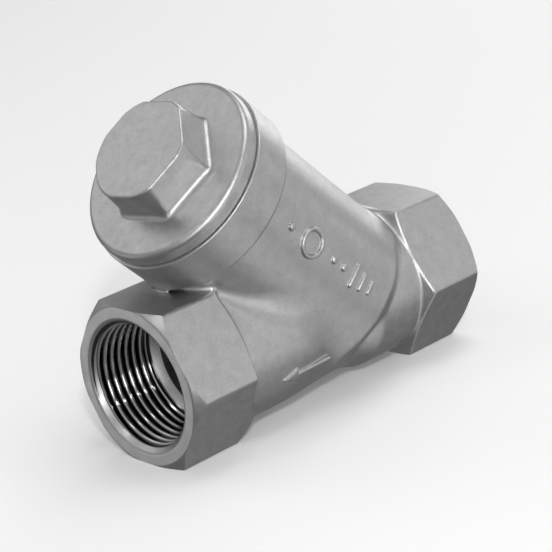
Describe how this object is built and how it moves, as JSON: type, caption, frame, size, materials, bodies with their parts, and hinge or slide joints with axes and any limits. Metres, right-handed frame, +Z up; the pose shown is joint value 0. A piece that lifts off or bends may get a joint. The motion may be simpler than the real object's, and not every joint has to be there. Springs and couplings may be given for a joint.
{
  "type": "y strainer",
  "caption": "Threaded y strainer: cast body with two hexagonal female ports, angled branch and hex-boss screw cap over a lift-out perforated screen.",
  "frame": {"origin": "midway between the two port faces, in the plane of the lower hex flats that the strainer rests on", "axes": "+X along the run in the direction of flow, out of the outlet port; +Z up; the branch and its cap lean 45 degrees from +X towards +Z; +Y is the side with the raised flow arrow"},
  "size_m": [0.08, 0.0386, 0.0675],
  "materials": {
    "cast_steel": "bead-blasted investment cast stainless steel, matte light grey",
    "screen_steel": "rolled stainless sheet, bright",
    "mesh_steel": "woven stainless wire",
    "ptfe": "off-white PTFE"
  },
  "bodies": {
    "casting": {"body": "cast_steel"},
    "screen": {"screen_sleeve": "screen_steel", "screen_mesh": "mesh_steel", "screen_top_ring": "screen_steel", "screen_bottom_ring": "screen_steel"},
    "gasket": {"cap_gasket": "ptfe"},
    "cap": {"cap": "cast_steel"}
  },
  "joints": [
    {"name": "screen_withdraw", "type": "slide", "parent": "casting", "child": "screen", "axis": [0.7071, 0, 0.7071], "range_m": [0, 0.056]},
    {"name": "cap_rise", "type": "slide", "parent": "screen", "child": "gasket", "axis": [0.7071, 0, 0.7071], "range_m": [0, 0.00825]},
    {"name": "cap_unscrew", "type": "hinge", "parent": "gasket", "child": "cap", "pos_m": [-0.0136, 0, 0.0157], "axis": [0.7071, 0, 0.7071], "range_deg": [0, 1980]}
  ],
  "couplings": [
    {"joint": "cap_rise", "follows": "cap_unscrew", "m_per_rad": 0.00023873}
  ]
}
